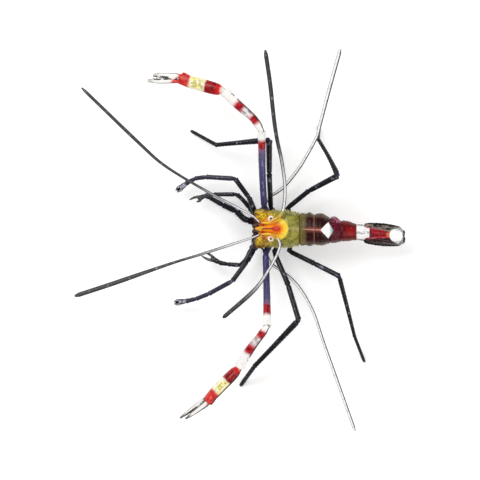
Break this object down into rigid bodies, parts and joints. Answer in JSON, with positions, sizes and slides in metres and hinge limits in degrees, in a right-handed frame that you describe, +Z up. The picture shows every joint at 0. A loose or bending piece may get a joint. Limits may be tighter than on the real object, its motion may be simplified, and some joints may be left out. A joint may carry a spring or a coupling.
{
  "type": "boxer shrimp",
  "caption": "Life-size still model of a small banded boxer shrimp, with long slim claws held forward and long feelers, standing on the tips of its rear walking legs.",
  "frame": {"origin": "centre of the bounding box's floor face, where the four standing leg tips rest", "axes": "-X towards the head, +Y towards the animal's right side, +Z up"},
  "size_m": [0.076, 0.0882, 0.0152],
  "materials": {
    "olive_shell": "glossy mottled olive shell",
    "maroon_shell": "glossy translucent maroon shell with pale marks",
    "red_shell": "glossy red shell",
    "white_shell": "glossy white shell",
    "dark_fan": "glossy dark translucent fan blade with a white end",
    "orange_head": "glossy orange-yellow shell",
    "cream_eye": "wet glossy cornea with a dark centre",
    "navy_limb": "glossy dark blue-grey limb with pale speckles",
    "blue_limb": "glossy indigo arm with a red and a white band",
    "red_limb": "glossy claw banded in red, cream and white",
    "pale_feeler": "ringed pale feeler",
    "grey_feeler": "ringed grey feeler"
  },
  "bodies": {
    "root": {"abdomen_1": "maroon_shell", "abdomen_2": "maroon_shell", "abdomen_3": "maroon_shell", "abdomen_4": "maroon_shell", "abdomen_5": "red_shell", "abdomen_6": "white_shell", "antenna_base_left": "orange_head", "antenna_base_right": "orange_head", "antenna_left_base": "pale_feeler", "antenna_left_tip": "grey_feeler", "antenna_right_base": "pale_feeler", "antenna_right_tip": "grey_feeler", "antennal_scale_left": "orange_head", "antennal_scale_right": "orange_head", "antennule_base_left": "red_shell", "antennule_base_right": "red_shell", "antennule_inner_left_base": "pale_feeler", "antennule_inner_left_tip": "grey_feeler", "antennule_inner_right_base": "pale_feeler", "antennule_inner_right_tip": "grey_feeler", "antennule_outer_left_base": "pale_feeler", "antennule_outer_left_tip": "grey_feeler", "antennule_outer_right_base": "pale_feeler", "antennule_outer_right_tip": "grey_feeler", "carapace": "olive_shell", "claw_left_carpus": "red_limb", "claw_left_finger": "red_limb", "claw_left_merus": "blue_limb", "claw_left_palm": "red_limb", "claw_right_carpus": "red_limb", "claw_right_finger": "red_limb", "claw_right_merus": "blue_limb", "claw_right_palm": "red_limb", "eye_left": "cream_eye", "eye_right": "cream_eye", "leg_1_left_lower": "navy_limb", "leg_1_left_upper": "navy_limb", "leg_1_right_lower": "navy_limb", "leg_1_right_upper": "navy_limb", "leg_2_left_lower": "navy_limb", "leg_2_left_upper": "navy_limb", "leg_2_right_lower": "navy_limb", "leg_2_right_upper": "navy_limb", "leg_4_left_lower": "navy_limb", "leg_4_left_upper": "navy_limb", "leg_4_right_lower": "navy_limb", "leg_4_right_upper": "navy_limb", "leg_5_left_lower": "navy_limb", "leg_5_left_upper": "navy_limb", "leg_5_right_lower": "navy_limb", "leg_5_right_upper": "navy_limb", "maxilliped_left": "navy_limb", "maxilliped_right_lower": "navy_limb", "maxilliped_right_upper": "navy_limb", "telson": "red_shell", "uropod_inner_left": "white_shell", "uropod_inner_right": "white_shell", "uropod_outer_left": "dark_fan", "uropod_outer_right": "dark_fan"}
  },
  "joints": []
}
